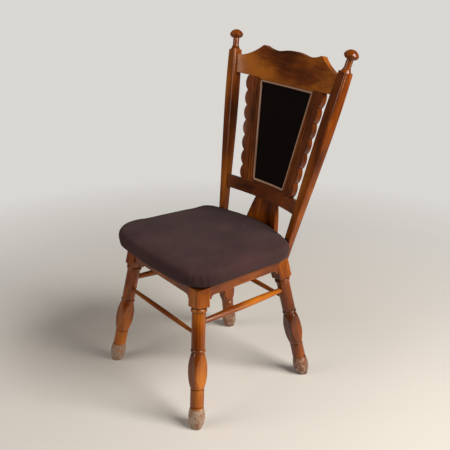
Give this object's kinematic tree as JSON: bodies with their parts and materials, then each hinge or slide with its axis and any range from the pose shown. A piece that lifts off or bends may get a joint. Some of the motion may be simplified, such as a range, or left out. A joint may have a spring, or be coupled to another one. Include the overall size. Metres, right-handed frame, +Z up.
{
  "type": "dining chair",
  "caption": "Wooden side chair with turned, splayed legs, an overhanging padded seat and a bowed, flared back with a narrow upholstered panel.",
  "frame": {"origin": "on the floor, at the middle of the chair's box seen from above", "axes": "+X to the sitter's left, -Y to the front, +Z up"},
  "size_m": [0.5462, 0.5562, 0.9985],
  "materials": {
    "varnished_wood": "satin",
    "seat_fabric": "matte",
    "back_fabric": "matte",
    "piping": "matte",
    "plywood": "matte"
  },
  "bodies": {
    "root": {"back_pad": "back_fabric", "back_panel": "plywood", "back_piping_front": "piping", "back_post_left": "varnished_wood", "back_post_right": "varnished_wood", "back_rail": "varnished_wood", "brace_front_left": "varnished_wood", "brace_front_right": "varnished_wood", "finial_left": "varnished_wood", "finial_right": "varnished_wood", "front_leg_left": "varnished_wood", "front_leg_right": "varnished_wood", "front_rail": "varnished_wood", "front_stretcher": "varnished_wood", "lower_rail": "varnished_wood", "rear_cover": "seat_fabric", "rear_leg_left": "varnished_wood", "rear_leg_right": "varnished_wood", "rear_stretcher": "varnished_wood", "seat_board": "plywood", "seat_pad": "seat_fabric", "side_rail_left": "varnished_wood", "side_rail_right": "varnished_wood", "side_stretcher_left": "varnished_wood", "side_stretcher_right": "varnished_wood", "splat_foot": "varnished_wood", "stile_left": "varnished_wood", "stile_right": "varnished_wood", "top_rail": "varnished_wood"}
  },
  "joints": []
}
